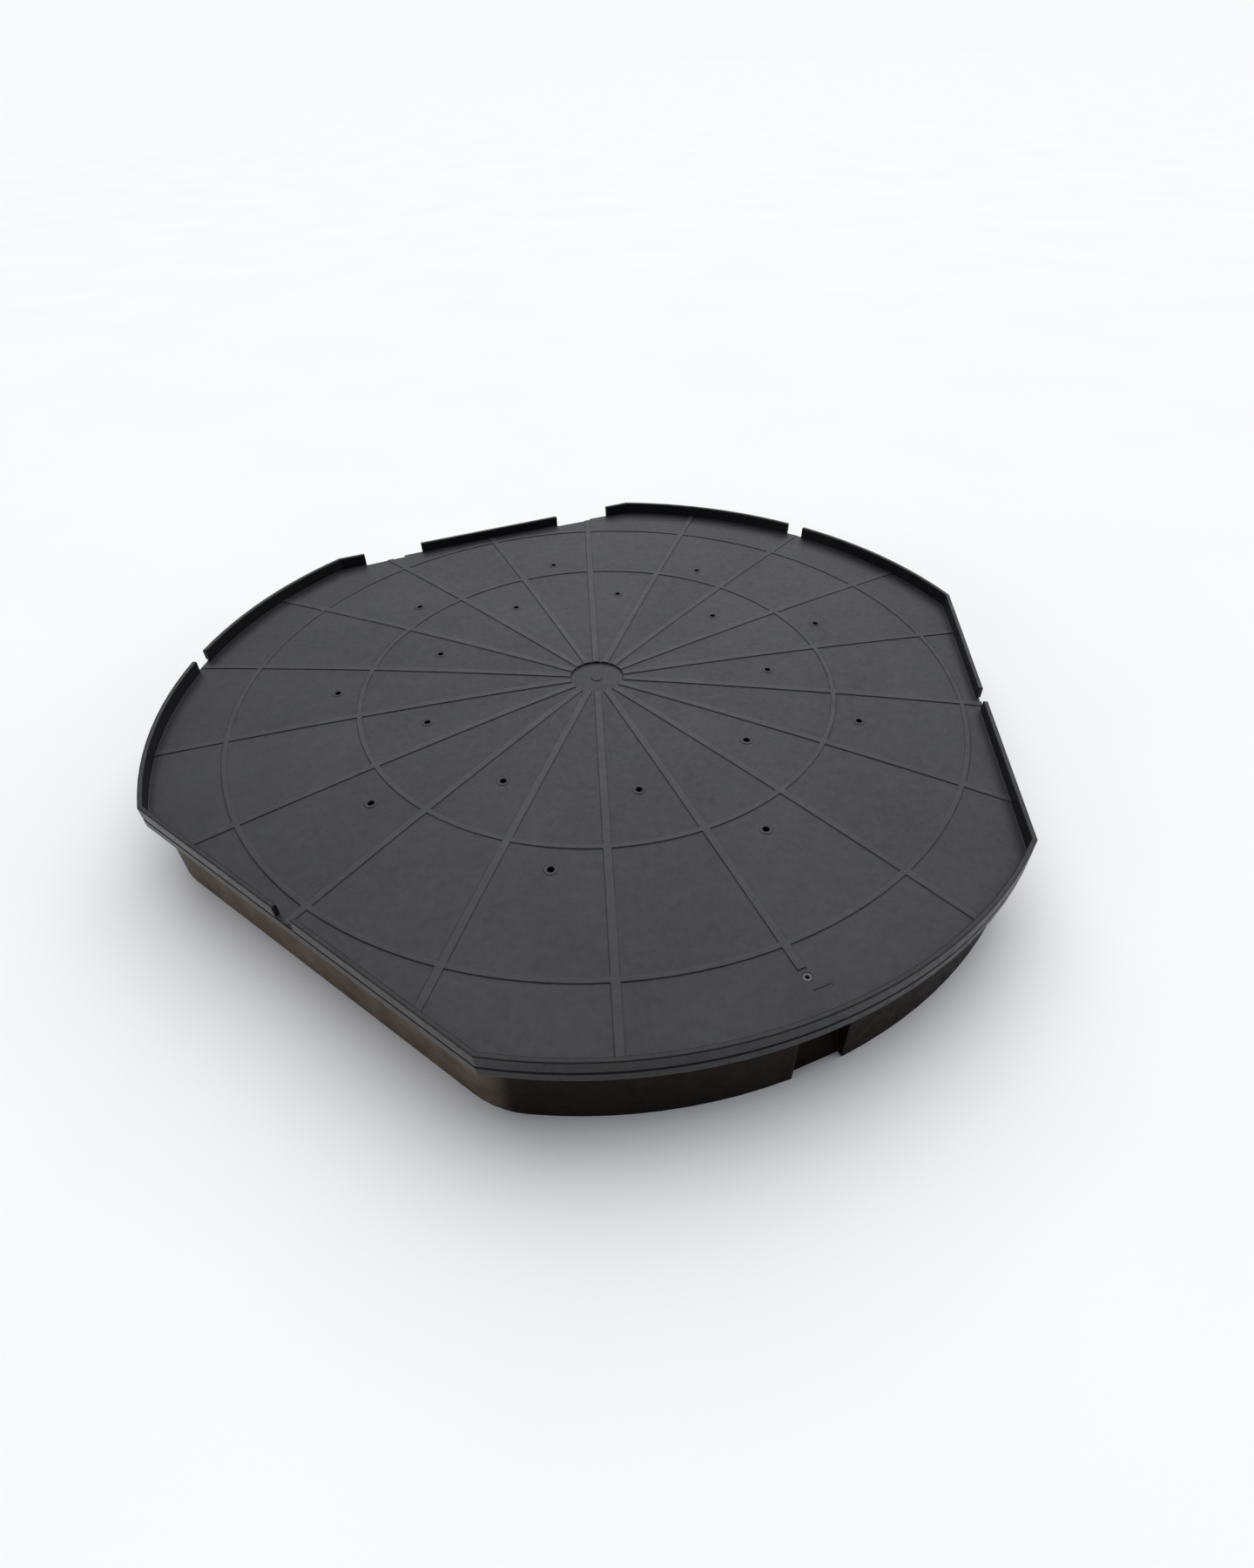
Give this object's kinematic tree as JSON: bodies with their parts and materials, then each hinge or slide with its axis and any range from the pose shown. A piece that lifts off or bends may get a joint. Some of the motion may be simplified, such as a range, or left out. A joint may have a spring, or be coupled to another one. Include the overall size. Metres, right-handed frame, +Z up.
{
  "type": "manhole cover",
  "caption": "Hinged plastic manhole cover: a domed, ribbed lid with an upstanding rim and cut-off sides, on a skirted frame with a round neck, a finger pocket and a turn latch.",
  "frame": {"origin": "centre of the frame's round neck on the plane the frame stands on", "axes": "+Z up, -Y to the front with the finger pocket and latch, +Y to the hinged back flat, +X to the right"},
  "size_m": [0.8, 0.7658, 0.08],
  "materials": {
    "lid_plastic": "dark grey moulded polypropylene, satin",
    "frame_plastic": "black-brown moulded polypropylene, satin",
    "spindle_nylon": "dark grey glass-filled nylon, moulded, dull",
    "seal_rubber": "black moulded rubber, matt",
    "stainless_steel": "bright drawn stainless steel",
    "plated_steel": "zinc plated steel, dull",
    "bush_plastic": "natural acetal, satin"
  },
  "bodies": {
    "base": {"frame": "frame_plastic", "cover_seal": "seal_rubber", "hinge_pin_left": "stainless_steel", "hinge_pin_right": "stainless_steel", "keeper_plate": "plated_steel", "keeper_screws": "stainless_steel"},
    "lid": {"cover_tray": "lid_plastic", "spindle_bush": "bush_plastic"},
    "latch": {"latch_spindle": "spindle_nylon", "spindle_seal": "seal_rubber", "latch_cam": "plated_steel", "latch_washer": "plated_steel", "latch_nut": "plated_steel"}
  },
  "joints": [
    {"name": "lid_hinge", "type": "hinge", "parent": "base", "child": "lid", "pos_m": [0, 0.358, 0.052], "axis": [-1, 0, 0], "range_deg": [0, 100]},
    {"name": "latch_turn", "type": "hinge", "parent": "lid", "child": "latch", "pos_m": [0, -0.364, 0.06856], "axis": [0, 0, -1], "range_deg": [0, 90]}
  ]
}
